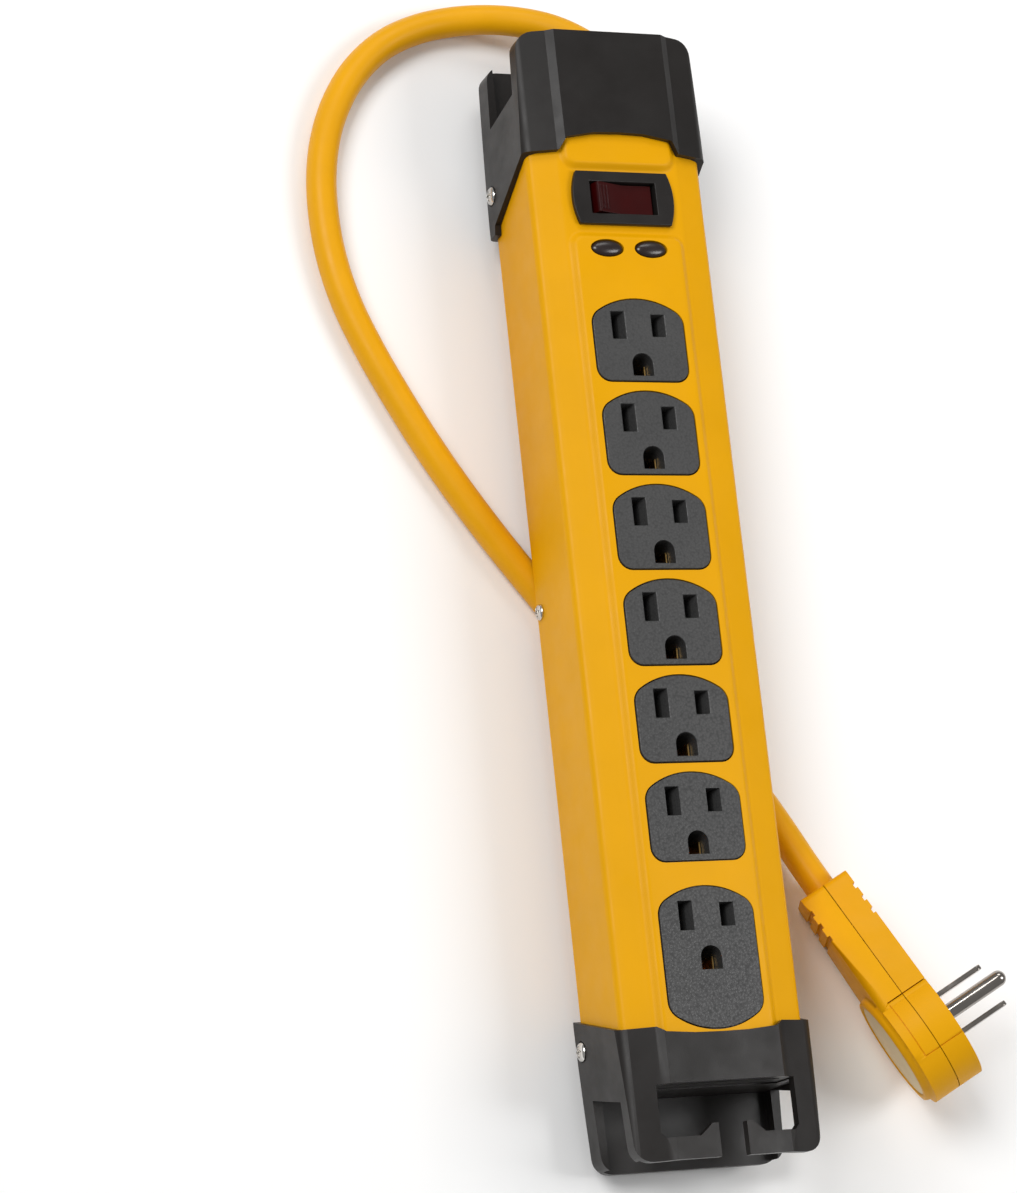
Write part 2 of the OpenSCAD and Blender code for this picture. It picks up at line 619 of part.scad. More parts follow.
module ground_pin() color(nickel) in_plug() translate([0, pin_row, 0]) {
    base = plug_half + 1;
    top = plug_half + 0.4 + blade_l + 3 - pin_r;
    translate([0, 0, 2.8]) cylinder(r = pin_neck_r, h = base - 2.3, $fn = fine);
    translate([0, 0, base]) cylinder(r = pin_r, h = top - base, $fn = fine);
    translate([0, 0, top]) intersection() {
        sphere(r = pin_r, $fn = fine);
        translate([-5, -5, 0]) cube(10);
    }
}

module slip_rings() color(brass) in_plug() for (r = [7.6, 10.4, 13.2]) translate([0, 0, 2]) difference() {
    cylinder(r = r + 0.9, h = 0.8, $fn = 96);
    translate([0, 0, -1]) cylinder(r = r - 0.9, h = 3, $fn = 96);
}

// Springs that press on the rings, each on its own foot in the back shell
module wiper_contacts() color(brass) in_plug()
    for (w = [[7.6, -40], [10.4, 0], [13.2, 40]]) rotate(w[1]) translate([w[0], 0, 0]) {
        translate([-0.7, -2, shell_wall - plug_half]) cube([1.4, 4, 0.8]);
        translate([-0.7, -0.3, shell_wall - plug_half]) cube([1.4, 0.6, plug_half - shell_wall + 1.6]);
    }

module plug_leads() color([0.15, 0.15, 0.15]) in_plug() {
    r = 0.7;
    swept_tube([[41, 1, 0], [34, 1, -0.5], [26, 1, -2.5], [12.6, 1, -2.8]], r, r, 8);
    swept_tube([[41, -1, 0], [34, -1, -0.5], [26, -1, -2.5], [14, -1.1, -3.4], [8.4, -3.6, -3.4]], r, r, 8);
    swept_tube([[41, 0, 2.4], [35, 1, 2.2], [29.5, 2, 0.6], [25.4, 6.2, -0.6], [20, 10.2, -2],
                [13, 9.6, -2.8]], r, r, 8);
}

module plug_screws() color(nickel) in_plug()
    for (p = plug_screw_at) translate([p[0], p[1], plug_half - 2]) rotate([0, 0, 45])
        screw(2.5, 1.2, 1.15, 11);

front_housing();
back_plate();
top_end_cap();
bottom_end_cap();
rubber_feet();
outlet_face_1();
outlet_face_2();
outlet_face_3();
outlet_face_4();
outlet_face_5();
outlet_face_6();
outlet_face_7();
outlet_tray();
hot_bus();
neutral_bus();
ground_bus();
switch_bezel();
breaker_body();
breaker_terminals();
rocker();
rocker_pin();
ground_lens();
protection_lens();
indicator_leds();
surge_board();
varistors();
thermal_fuse();
inner_leads();
cord_gland();
strain_relief();
cord();
cap_screws();
housing_screws();
plug_front_shell();
plug_back_shell();
plug_label();
plug_disc();
hot_blade();
neutral_blade();
ground_pin();
slip_rings();
wiper_contacts();
plug_leads();
plug_screws();
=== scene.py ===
"""Looks for the power strip: materials, softly stamped housing, smooth cord and finished plug."""

import json
import math

import bpy
import bmesh
import numpy as np
from mathutils import Matrix, Vector

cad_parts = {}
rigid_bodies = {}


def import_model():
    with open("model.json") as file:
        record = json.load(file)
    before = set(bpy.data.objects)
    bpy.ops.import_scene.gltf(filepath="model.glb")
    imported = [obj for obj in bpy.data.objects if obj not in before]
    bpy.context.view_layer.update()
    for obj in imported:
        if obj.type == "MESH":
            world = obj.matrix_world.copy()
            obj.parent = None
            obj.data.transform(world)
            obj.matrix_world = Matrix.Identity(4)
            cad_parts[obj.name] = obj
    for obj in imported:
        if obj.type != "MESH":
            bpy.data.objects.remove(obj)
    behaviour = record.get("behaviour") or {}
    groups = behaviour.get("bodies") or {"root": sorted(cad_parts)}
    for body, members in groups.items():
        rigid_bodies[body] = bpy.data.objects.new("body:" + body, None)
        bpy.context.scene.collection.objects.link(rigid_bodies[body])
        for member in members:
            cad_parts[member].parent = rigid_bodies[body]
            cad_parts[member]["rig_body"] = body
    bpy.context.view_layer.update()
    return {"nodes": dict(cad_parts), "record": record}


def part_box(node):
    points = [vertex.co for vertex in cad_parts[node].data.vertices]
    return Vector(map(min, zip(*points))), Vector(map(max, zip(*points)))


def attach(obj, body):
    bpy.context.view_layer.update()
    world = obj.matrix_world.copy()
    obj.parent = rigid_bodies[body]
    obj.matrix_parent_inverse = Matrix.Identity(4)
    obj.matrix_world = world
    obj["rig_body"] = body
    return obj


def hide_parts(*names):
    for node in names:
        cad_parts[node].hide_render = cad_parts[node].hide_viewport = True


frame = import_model()
NODES = frame["nodes"]
RECORD = frame["record"]
MM = 0.001
scene = bpy.context.scene


def mm(points):
    """Points in millimetres as vectors in metres."""
    return [Vector(p) * MM for p in points]


def link(o):
    """Puts a new object in the scene."""
    scene.collection.objects.link(o)
    return o


# ---------------------------------------------------------------- camera

CAMERA_AT = Vector((-401.2, -246.4, 932.9)) * MM
CAMERA_AIM = Vector((-40.5, -0.6, 20.0)) * MM
CAMERA_ROLL = math.radians(52.50)
CAMERA_LENS = 105.01
SENSOR_W = 36.0

camera = link(bpy.data.objects.new("camera", bpy.data.cameras.new("camera")))
camera.data.lens = CAMERA_LENS
camera.data.sensor_width = SENSOR_W
camera.data.clip_start, camera.data.clip_end = 0.02, 20.0
back = (CAMERA_AT - CAMERA_AIM).normalized()
level = Vector((0, 0, 1)).cross(back).normalized()
right = math.cos(CAMERA_ROLL) * level + math.sin(CAMERA_ROLL) * back.cross(level)
up = back.cross(right)
turn = Matrix((right, up, back)).transposed().to_4x4()
camera.matrix_world = Matrix.Translation(CAMERA_AT) @ turn
scene.camera = camera

# ---------------------------------------------------------------- cord

CORD_R = 4.6 * MM
RELIEF = mm([(18, 143, 21), (18, 148, 21), (17.2, 155.9, 20.6), (14.7, 163.5, 19.6)])
ROUTE = mm([
    (14.7, 163.5, 19.6), (10.7, 170.3, 18.2), (4.4, 177.1, 16), (-3.9, 182.4, 13.4),
    (-13.4, 185.6, 10.6), (-24, 187, 8), (-35, 186.5, 5.8), (-46, 183.8, 4.8), (-56.5, 178.5, 4.7),
    (-65.5, 170.5, 4.7), (-72.5, 160.5, 4.7), (-77.5, 149, 4.7), (-80.3, 136.5, 4.7),
    (-81, 123, 4.7), (-79.8, 109, 4.7), (-76.5, 95, 4.7), (-71, 81, 4.7), (-64, 66.5, 4.7),
    (-56, 51.5, 4.7), (-47, 36.5, 4.7), (-37, 21.5, 4.7), (-26.5, 7, 4.7), (-18.5, -3.5, 4.7),
    (-9, -13.5, 4.7), (2, -22.5, 4.7), (13, -31.5, 4.7), (23.5, -41, 4.7), (32, -51, 5),
    (38.1, -60, 6.1), (43.3, -70.2, 8), (48.4, -81.1, 10.1), (52.3, -89, 11.7),
    (54.9, -94.3, 12.7)])


def smooth_line(points, steps=8):
    """A Catmull-Rom line through the points."""
    ends = [2 * points[0] - points[1], *points, 2 * points[-1] - points[-2]]
    line = []
    for a, b, c, d in zip(ends, ends[1:], ends[2:], ends[3:]):
        for k in range(steps):
            t = k / steps
            line.append(0.5 * (2 * b + (c - a) * t + (2 * a - 5 * b + 4 * c - d) * t * t
                               + (3 * b - a - 3 * c + d) * t ** 3))
    return line + [points[-1]]


cord_line = smooth_line(RELIEF[:-1] + ROUTE)
curve = bpy.data.curves.new("cord_jacket", "CURVE")
curve.dimensions = "3D"
curve.bevel_depth = 1.0         # each point's radius gives the tube's own
curve.bevel_resolution = 8
curve.use_fill_caps = True
spline = curve.splines.new("POLY")
spline.points.add(len(cord_line) - 1)
for point, at in zip(spline.points, cord_line):
    point.co = (*at, 1)
    point.radius = CORD_R
spline.use_smooth = True
cord_piece = link(bpy.data.objects.new("cord_jacket", curve))
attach(cord_piece, "strip")
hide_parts("cord")


# ---------------------------------------------------------------- materials

def new_material(name):
    """A material with its nodes, its links and its Principled shader."""
    m = bpy.data.materials.new(name)
    m.use_nodes = True
    return m, m.node_tree.nodes, m.node_tree.links, m.node_tree.nodes["Principled BSDF"]


def noise(nodes, links, coords, scale, detail=3.0, stretch=None, rough=0.55):
    """A noise texture in object coordinates, with cells about 1/scale metres wide."""
    n = nodes.new("ShaderNodeTexNoise")
    n.inputs["Scale"].default_value = scale
    n.inputs["Detail"].default_value = detail
    n.inputs["Roughness"].default_value = rough
    source = coords.outputs["Object"]
    if stretch:
        m = nodes.new("ShaderNodeMapping")
        m.inputs["Scale"].default_value = stretch
        links.new(source, m.inputs["Vector"])
        source = m.outputs["Vector"]
    links.new(source, n.inputs["Vector"])
    return n.outputs["Fac"]


def ramp(nodes, links, fac, stops):
    """A colour ramp with the given (position, colour) stops."""
    r = nodes.new("ShaderNodeValToRGB")
    r.color_ramp.elements[0].position, r.color_ramp.elements[0].color = stops[0]
    r.color_ramp.elements[1].position, r.color_ramp.elements[1].color = stops[-1]
    for pos, col in stops[1:-1]:
        r.color_ramp.elements.new(pos).color = col
    links.new(fac, r.inputs["Fac"])
    return r.outputs["Color"]


def shade(color, k):
    """The colour made k times as bright."""
    return (*[min(1.0, c * k) for c in color], 1.0)


def finish_of(name, color, rough, grain=900.0, grain_mm=0.02, vary=0.06, metal=0.0, coat=0.0,
              coat_rough=0.1, fine=None, fine_mm=0.01, stretch=None, spec=0.5, ior=1.5,
              rough_vary=0.08):
    """A finish with varied colour and roughness, and one or two sizes of grain."""
    m, nodes, links, b = new_material(name)
    coords = nodes.new("ShaderNodeTexCoord")
    broad = noise(nodes, links, coords, 38.0, 4.0, stretch)
    col = ramp(nodes, links, broad, [(0.32, shade(color, 1 - vary)), (0.5, shade(color, 1.0)),
                                     (0.7, shade(color, 1 + vary))])
    links.new(col, b.inputs["Base Color"])
    b.inputs["Metallic"].default_value = metal
    b.inputs["Specular IOR Level"].default_value = spec
    b.inputs["IOR"].default_value = ior
    b.inputs["Coat Weight"].default_value = coat
    b.inputs["Coat Roughness"].default_value = coat_rough
    lo, hi = max(0.02, rough - rough_vary), min(1.0, rough + rough_vary)
    rr = ramp(nodes, links, noise(nodes, links, coords, 120.0, 5.0, stretch),
              [(0.3, (lo, lo, lo, 1)), (0.7, (hi, hi, hi, 1))])
    links.new(rr, b.inputs["Roughness"])
    bump = nodes.new("ShaderNodeBump")
    bump.inputs["Strength"].default_value = 1.0
    bump.inputs["Distance"].default_value = grain_mm * MM
    links.new(noise(nodes, links, coords, grain, 2.0, stretch), bump.inputs["Height"])
    last = bump
    if fine:
        second = nodes.new("ShaderNodeBump")
        second.inputs["Strength"].default_value = 1.0
        second.inputs["Distance"].default_value = fine_mm * MM
        links.new(noise(nodes, links, coords, fine, 2.0), second.inputs["Height"])
        links.new(bump.outputs["Normal"], second.inputs["Normal"])
        last = second
    links.new(last.outputs["Normal"], b.inputs["Normal"])
    return m


def leather_grain_with_painted_shade(name, color, rough, cell=1500.0, depth=0.05):
    """Moulded grain: small rounded cells with creases between them; the creases are painted darker
    as painted shade and the cell tops lighter as painted light.
    """
    m, nodes, links, b = new_material(name)
    coords = nodes.new("ShaderNodeTexCoord")
    cells = nodes.new("ShaderNodeTexVoronoi")
    cells.feature = "SMOOTH_F1"
    cells.inputs["Scale"].default_value = cell
    cells.inputs["Smoothness"].default_value = 0.6
    links.new(coords.outputs["Object"], cells.inputs["Vector"])
    # painted shade and light: the colour darkens towards the creases between cells and lightens on
    # the cell tops
    col = ramp(nodes, links, cells.outputs["Distance"],
               [(0.1, shade(color, 1.18)), (0.45, shade(color, 1.0)), (0.8, shade(color, 0.72))])
    broad = noise(nodes, links, coords, 60.0, 3.0)
    tint = ramp(nodes, links, broad, [(0.3, (0.9, 0.9, 0.9, 1)), (0.7, (1.08, 1.07, 1.06, 1))])
    mix = nodes.new("ShaderNodeMix")
    mix.data_type, mix.blend_type = "RGBA", "MULTIPLY"
    mix.inputs["Factor"].default_value = 1.0
    links.new(col, mix.inputs["A"])
    links.new(tint, mix.inputs["B"])
    links.new(mix.outputs["Result"], b.inputs["Base Color"])
    rr = ramp(nodes, links, cells.outputs["Distance"],
              [(0.1, (rough - 0.08,) * 3 + (1,)), (0.8, (rough + 0.2,) * 3 + (1,))])
    links.new(rr, b.inputs["Roughness"])
    bump = nodes.new("ShaderNodeBump")
    bump.invert = True
    bump.inputs["Strength"].default_value = 1.0
    bump.inputs["Distance"].default_value = depth * MM
    links.new(cells.outputs["Distance"], bump.inputs["Height"])
    small = nodes.new("ShaderNodeBump")
    small.inputs["Strength"].default_value = 1.0
    small.inputs["Distance"].default_value = 0.03 * MM
    links.new(noise(nodes, links, coords, 2600.0, 3.0), small.inputs["Height"])
    links.new(bump.outputs["Normal"], small.inputs["Normal"])
    links.new(small.outputs["Normal"], b.inputs["Normal"])
    return m


YELLOW = (0.73, 0.345, 0.0)
CORD_YELLOW = (0.75, 0.35, 0.002)
PLUG_YELLOW = (0.76, 0.36, 0.001)
BLACK = (0.0145, 0.0125, 0.0115)

MATERIALS = {
    "yellow_paint": finish_of("yellow_paint", YELLOW, 0.4, grain=420.0, grain_mm=0.012, vary=0.03,
                              fine=2600.0, fine_mm=0.004, spec=0.4, ior=1.25),
    "cap_plastic": finish_of("cap_plastic", BLACK, 0.38, grain=700.0, grain_mm=0.012, vary=0.16,
                             fine=3000.0, fine_mm=0.012, spec=0.26, rough_vary=0.07),
    "foot_rubber": finish_of("foot_rubber", (0.018, 0.018, 0.019), 0.75, grain=500.0, grain_mm=0.05,
                             vary=0.2),
    "outlet_plastic": leather_grain_with_painted_shade("outlet_plastic", (0.043, 0.043, 0.043), 0.42),
    "tray_plastic": finish_of("tray_plastic", (0.02, 0.02, 0.021), 0.5, vary=0.15),
    "contact_brass": finish_of("contact_brass", (0.78, 0.50, 0.17), 0.3, grain=260.0, grain_mm=0.02,
                               vary=0.16, metal=1.0, stretch=(1, 0.1, 1)),
    "rocker_red": finish_of("rocker_red", (0.030, 0.0008, 0.0008), 0.2, grain=300.0, grain_mm=0.01,
                            vary=0.3, spec=0.25, rough_vary=0.05),
    "nickel": finish_of("nickel", (0.66, 0.64, 0.61), 0.2, grain=500.0, grain_mm=0.012, vary=0.1,
                        metal=1.0, fine=1800.0, fine_mm=0.005),
    "lens_dark": finish_of("lens_dark", (0.014, 0.006, 0.005), 0.3, grain=200.0, grain_mm=0.01,
                           vary=0.4, coat=0.3, coat_rough=0.2, rough_vary=0.05),
    "led_green": finish_of("led_green", (0.30, 0.58, 0.32), 0.2, vary=0.15),
    "board_green": finish_of("board_green", (0.015, 0.14, 0.05), 0.35, grain=300.0, grain_mm=0.03,
                             vary=0.25, coat=0.4),
    "varistor_blue": finish_of("varistor_blue", (0.02, 0.07, 0.32), 0.28, grain=240.0, grain_mm=0.06,
                               vary=0.2, coat=0.3),
    "lead_black": finish_of("lead_black", (0.016, 0.016, 0.016), 0.45, vary=0.15),
    "cord_yellow": finish_of("cord_yellow", CORD_YELLOW, 0.42, grain=260.0, grain_mm=0.05, vary=0.05,
                             fine=1500.0, fine_mm=0.015, spec=0.45, ior=1.3),
    "plug_yellow": finish_of("plug_yellow", PLUG_YELLOW, 0.5, grain=600.0, grain_mm=0.02, vary=0.04,
                             fine=2400.0, fine_mm=0.012, spec=0.4, ior=1.25),
    "label_cream": finish_of("label_cream", (0.74, 0.58, 0.34), 0.6, grain=800.0, grain_mm=0.03,
                             vary=0.1, fine=3500.0, fine_mm=0.01),
}
PRONG_METAL = finish_of("prong_metal", (0.36, 0.33, 0.30), 0.16, grain=500.0, grain_mm=0.012,
                        vary=0.12, metal=1.0, fine=1800.0, fine_mm=0.005)
SLOT_OF = {s["node"]: s["material_slot"] for s in RECORD["subparts"]}
for name, node in NODES.items():
    node.data.materials.clear()
    node.data.materials.append(MATERIALS[SLOT_OF[name]])


# ---------------------------------------------------------------- mesh helpers

MERGE_M = 2e-6          # points nearer than this are one point
FLAT_DEG = 0.6          # faces that meet at less than this are one face
SLIVER_M = 1e-5         # what a cut leaves that is smaller than this goes


def piece_from(name, verts, faces, slot, body="strip", smooth=40.0):
    """A mesh piece in metres, with smooth shading below an edge angle, that rides on a body."""
    me = bpy.data.meshes.new(name)
    me.from_pydata([tuple(v) for v in verts], [], faces)
    me.validate()
    o = link(bpy.data.objects.new(name, me))
    return dress(o, slot, body, smooth)


def dress(o, slot, body="strip", smooth=40.0):
    """Gives a piece its shading, the material of its slot, and its body."""
    me = o.data
    me.polygons.foreach_set("use_smooth", [True] * len(me.polygons))
    me.set_sharp_from_angle(angle=math.radians(smooth))
    me.materials.clear()
    me.materials.append(MATERIALS[slot])
    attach(o, body)
    return o


def evened(o):
    """Keeps the shading of large flat faces even next to small ones."""
    mod = o.modifiers.new("even", "WEIGHTED_NORMAL")
    mod.keep_sharp = True


def refined(node, width_mm, segments=3, angle=32.0, name=None):
    """A finer piece in place of a CAD node: clean faces and rounded edges."""
    src = NODES[node]
    me = src.data.copy()
    o = link(bpy.data.objects.new(name or node + "_fine", me))
    bm = bmesh.new()
    bm.from_mesh(me)
    bmesh.ops.remove_doubles(bm, verts=bm.verts, dist=MERGE_M)
    bmesh.ops.dissolve_limit(bm, angle_limit=math.radians(FLAT_DEG), verts=bm.verts,
                             edges=bm.edges)
    bm.to_mesh(me)
    bm.free()
    dress(o, SLOT_OF[node], src["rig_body"], angle)
    mod = o.modifiers.new("edges", "BEVEL")
    mod.width = width_mm * MM
    mod.segments = segments
    mod.limit_method = "ANGLE"
    mod.angle_limit = math.radians(angle)
    mod.loop_slide = False
    mod.harden_normals = True
    evened(o)
    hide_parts(node)
    return o


def cut(o, cutter, name):
    """Subtracts the cutter's mesh from the piece, after its other modifiers."""
    cutter.hide_render = True
    cutter.hide_viewport = True
    mod = o.modifiers.new(name, "BOOLEAN")
    mod.operation = "DIFFERENCE"
    mod.solver = "EXACT"
    mod.use_self = True
    mod.object = cutter


def settled(o):
    """Applies the piece's modifiers to its mesh."""
    dg = bpy.context.evaluated_depsgraph_get()
    me = bpy.data.meshes.new_from_object(o.evaluated_get(dg))
    old = o.data
    o.modifiers.clear()
    o.data = me
    bpy.data.meshes.remove(old)
    return o


def without_slivers(me):
    """Merges what a cut leaves too close together, and splits its many-sided faces."""
    bm = bmesh.new()
    bm.from_mesh(me)
    bmesh.ops.remove_doubles(bm, verts=bm.verts, dist=SLIVER_M)
    bmesh.ops.dissolve_degenerate(bm, edges=bm.edges, dist=SLIVER_M)
    bmesh.ops.triangulate(bm, faces=[f for f in bm.faces if len(f.verts) > 4])
    bm.to_mesh(me)
    bm.free()


# ---------------------------------------------------------------- stamped housing

BOX_LO, BOX_HI = (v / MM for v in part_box("front_housing"))
HALF_W, TOP_Z, BACK_Z, HALF_L = BOX_HI.x, BOX_HI.z, BOX_LO.z, BOX_HI.y
RISE = 1.5
SHOULDER_Z = TOP_Z - RISE
CORNER_R, CORNER_X, CORNER_Z = 2.5, HALF_W - 2.5, TOP_Z - 6.4
CORNER_TURN = 71.6
FOOT, SLOPE_W, PLAN_R = 18.7, 2.3, 4.5
DIP_LOW, DIP_HIGH = 105.0, 124.5
SLOTS = [75.4 - 28.54 * i for i in range(6)]
SLOTS.append(SLOTS[5] - 32.9)
SWITCH_Y, LENS_Y, LENS_X = 115.4, 99.5, 7.0
SHEET_T = 1.2
OUTLET_DOWN, LAST_DOWN = 17.2, 32.0             # from the blade slots to an outlet's lower edge
OUTLET_GAP = 0.4
SWITCH_HOLE = (13.9, 7.3)
LENS_HOLE = (5.3, 2.8)
CUT_BELOW, CUT_ABOVE = TOP_Z - 4, TOP_Z + 2


def arc(cx, cy, r, a0, a1, n):
    """Points on an arc, from angle a0 to a1 in degrees."""
    return [(cx + r * math.cos(math.radians(a0 + (a1 - a0) * i / n)),
             cy + r * math.sin(math.radians(a0 + (a1 - a0) * i / n))) for i in range(n + 1)]


def panel_depth(x, y):
    """Distance inside the nearer raised panel's foot, in mm."""
    ex = FOOT - abs(x)
    ey = max(DIP_LOW - y, y - DIP_HIGH)
    if ex < PLAN_R and ey < PLAN_R:
        return PLAN_R - math.hypot(PLAN_R - ex, PLAN_R - ey)
    return min(ex, ey)


def stamped(x, y):
    """How far the sheet is raised at (x, y), in mm."""
    t = min(1.0, max(0.0, panel_depth(x, y) / SLOPE_W))
    return RISE * (0.35 * t + 0.65 * t * t * (3 - 2 * t))


def section():
    """Points (x, z without the panels) along the right half, from the wall's foot to the middle."""
    pts = [(HALF_W, BACK_Z), (HALF_W, 20.0), (HALF_W, 30.0), (HALF_W, CORNER_Z - 1)]
    pts += arc(CORNER_X, CORNER_Z, CORNER_R, 0, CORNER_TURN, 8)
    ex, ez = pts[-1]
    for k in range(1, 6):
        f = k / 5 * 0.88
        pts.append((ex + (FOOT - ex) * f, ez + (SHOULDER_Z - ez) * f))
    bend = SHOULDER_Z - (SHOULDER_Z - ez) * 0.03
    pts += [(FOOT + 0.35, bend - 0.02), (FOOT - 0.1, SHOULDER_Z - 0.03)]
    pts += [(FOOT - SLOPE_W * k / 6, SHOULDER_Z) for k in range(1, 7)]
    pts += [(x, SHOULDER_Z) for x in (15.6, 14.9, 14.0, 12.0, 9.0, 6.0, 3.0, 0.0)]
    return pts


def rows():
    """The y of each row of points, close together at the panels' ends."""
    ys = set(np.linspace(-HALF_L, DIP_LOW - 8, 44).tolist())
    for edge, side in ((DIP_LOW, -1), (DIP_HIGH, 1)):
        ys |= {edge + side * 0.42 * k for k in range(0, 14)}
    ys |= set(np.linspace(DIP_LOW + 2, DIP_HIGH - 2, 6).tolist())
    ys |= set(np.linspace(DIP_HIGH + 7, HALF_L, 4).tolist())
    return sorted(ys)


def outlet_outline(down, arched, grow):
    """The arched outline of an outlet face about its blade slots, in mm."""
    hw, top, low = 14.4 + grow, 8.1 + grow, down + grow
    big, r, low_r = 22.0, 5.0 + grow, 4.0 + grow
    rise = math.sqrt((big - r) ** 2 - (hw - r) ** 2)
    a = math.degrees(math.atan2(rise, hw - r))
    pts = arc(hw - r, top - big + rise, r, 0, a, 6) + arc(0, top - big, big, a, 180 - a, 16)[1:-1]
    pts += arc(r - hw, top - big + rise, r, 180 - a, 180, 6)
    if arched:
        pts += arc(r - hw, big - low - rise, r, 180, 180 + a, 6)
        pts += arc(0, big - low, big, 180 + a, 360 - a, 16)[1:-1]
        pts += arc(hw - r, big - low - rise, r, 360 - a, 360, 6)
    else:
        pts += arc(low_r - hw, low_r - low, low_r, 180, 270, 6)
        pts += arc(hw - low_r, low_r - low, low_r, 270, 360, 6)
    return pts


def prism(outline, dx, dy, z0, z1):
    """A closed prism of an outline, as (verts, faces) in metres."""
    n = len(outline)
    verts = [Vector((x + dx, y + dy, z)) * MM for z in (z0, z1) for x, y in outline]
    faces = [(i, (i + 1) % n, n + (i + 1) % n, n + i) for i in range(n)]
    return verts, faces + [tuple(range(n - 1, -1, -1)), tuple(range(n, 2 * n))]


def merged(name, parts):
    """One hidden object from several (verts, faces), for cutting."""
    verts, faces = [], []
    for v, f in parts:
        base = len(verts)
        verts += v
        faces += [tuple(i + base for i in face) for face in f]
    me = bpy.data.meshes.new(name)
    me.from_pydata([tuple(v) for v in verts], [], faces)
    return link(bpy.data.objects.new(name, me))


def stamped_housing():
    """The sheet-steel housing with its raised panels and its holes."""
    half = section()
    outline = half + [(-x, z) for x, z in reversed(half[:-1])]
    ys = rows()
    verts, faces = [], []
    for y in ys:
        for x, z in outline:
            lift = stamped(x, y) if abs(x) < FOOT else 0.0
            verts.append(Vector((x, y, z + lift)) * MM)
    n = len(outline)
    for r in range(len(ys) - 1):
        for k in range(n - 1):
            a = r * n + k
            faces.append((a, a + 1, a + n + 1, a + n))
    o = piece_from("housing_shell", verts, faces, "yellow_paint")
    solid = o.modifiers.new("sheet", "SOLIDIFY")
    solid.thickness = SHEET_T * MM
    solid.offset = -1.0
    bm = bmesh.new()
    bm.from_mesh(o.data)
    bmesh.ops.recalc_face_normals(bm, faces=bm.faces)
    top = max(bm.faces, key=lambda f: f.calc_center_median().z)
    if top.normal.z < 0:
        bmesh.ops.reverse_faces(bm, faces=bm.faces)
    bm.to_mesh(o.data)
    bm.free()
    parts = []
    for y in SLOTS:
        last = y == SLOTS[-1]
        outlet = outlet_outline(LAST_DOWN if last else OUTLET_DOWN, last, OUTLET_GAP)
        parts.append(prism(outlet, 0, y, CUT_BELOW, CUT_ABOVE))
    w, h = SWITCH_HOLE
    hole = [(w, h), (-w, h), (-w, -h), (w, -h)]
    parts.append(prism(hole, 0, SWITCH_Y, SHOULDER_Z - 3, SHOULDER_Z + 3))
    turns = [math.radians(a) for a in range(0, 360, 8)]
    lens = [(LENS_HOLE[0] * math.cos(a), LENS_HOLE[1] * math.sin(a)) for a in turns]
    parts += [prism(lens, s * LENS_X, LENS_Y, CUT_BELOW, CUT_ABOVE) for s in (-1, 1)]
    cutter = merged("housing_holes", parts)
    cut(o, cutter, "holes")
    settled(o)
    bpy.data.objects.remove(cutter)
    dress(o, "yellow_paint", "strip", 38.0)
    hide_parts("front_housing")
    return o


stamped_housing()

# ---------------------------------------------------------------- refined CAD parts

refined("top_end_cap", 0.55, 3, 33)
refined("bottom_end_cap", 0.55, 3, 33)
for i in range(1, 8):
    refined(f"outlet_face_{i}", 0.3, 2, 40)
refined("switch_bezel", 0.35, 3, 40)
refined("rocker", 0.2, 2, 30)
refined("rubber_feet", 0.6, 3, 40)
refined("cap_screws", 0.12, 2, 35)
refined("housing_screws", 0.12, 2, 35)
refined("cord_gland", 0.4, 2, 35)
refined("back_plate", 0.3, 2, 40)


LENS_HALF = (5.15, 2.65)
LENS_RISE = 1.5
LENS_RIM_Z = TOP_Z - LENS_RISE / 2
LENS_BASE_Z = TOP_Z - 3
DOME_POWER = 2.4


def domed_lens(name, node, x):
    """An oval lens that swells from a rim just below the panel."""
    n, rings = 40, 7
    half_x, half_y = LENS_HALF
    verts, faces = [], []
    for k in range(rings):
        r = 1 - k / rings
        z = LENS_RIM_Z + LENS_RISE * math.sqrt(max(0.0, 1 - r ** DOME_POWER))
        for i in range(n):
            a = 2 * math.pi * i / n
            at = (x + half_x * r * math.cos(a), LENS_Y + half_y * r * math.sin(a), z)
            verts.append(Vector(at) * MM)
    verts.append(Vector((x, LENS_Y, LENS_RIM_Z + LENS_RISE)) * MM)
    for k in range(rings - 1):
        for i in range(n):
            a, b = k * n + i, k * n + (i + 1) % n
            faces.append((a, b, b + n, a + n))
    top = len(verts) - 1
    faces += [((rings - 1) * n + i, (rings - 1) * n + (i + 1) % n, top) for i in range(n)]
    base = len(verts)
    verts += [Vector((v.x, v.y, LENS_BASE_Z * MM)) for v in verts[:n]]
    faces += [(base + i, base + (i + 1) % n, (i + 1) % n, i) for i in range(n)]
    faces.append(tuple(base + n - 1 - i for i in range(n)))
    o = piece_from(name, verts, faces, "lens_dark", "strip", 50.0)
    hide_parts(node)


domed_lens("ground_lens_dome", "ground_lens", -LENS_X)
domed_lens("protection_lens_dome", "protection_lens", LENS_X)


# ---------------------------------------------------------------- strain relief

def swept(line, radii, n=28):
    """A tube of varying radius along a line, with closed ends."""
    verts, faces = [], []
    for i, p in enumerate(line):
        t = (line[min(i + 1, len(line) - 1)] - line[max(i - 1, 0)]).normalized()
        side = t.cross(Vector((0, 0, 1))).normalized()
        over = side.cross(t)
        for k in range(n):
            a = 2 * math.pi * k / n
            verts.append(p + radii[i] * (math.cos(a) * side + math.sin(a) * over))
    for i in range(len(line) - 1):
        for k in range(n):
            a, b = i * n + k, i * n + (k + 1) % n
            faces.append((a, b, b + n, a + n))
    faces.append(tuple(range(n - 1, -1, -1)))
    faces.append(tuple(range((len(line) - 1) * n, len(line) * n)))
    return verts, faces


RELIEF_R, RELIEF_END_R = 7.4, 5.4
RING_DEPTH = 0.55
RINGS_FROM, RINGS_TO, RING_BANDS = 0.16, 0.9, 22

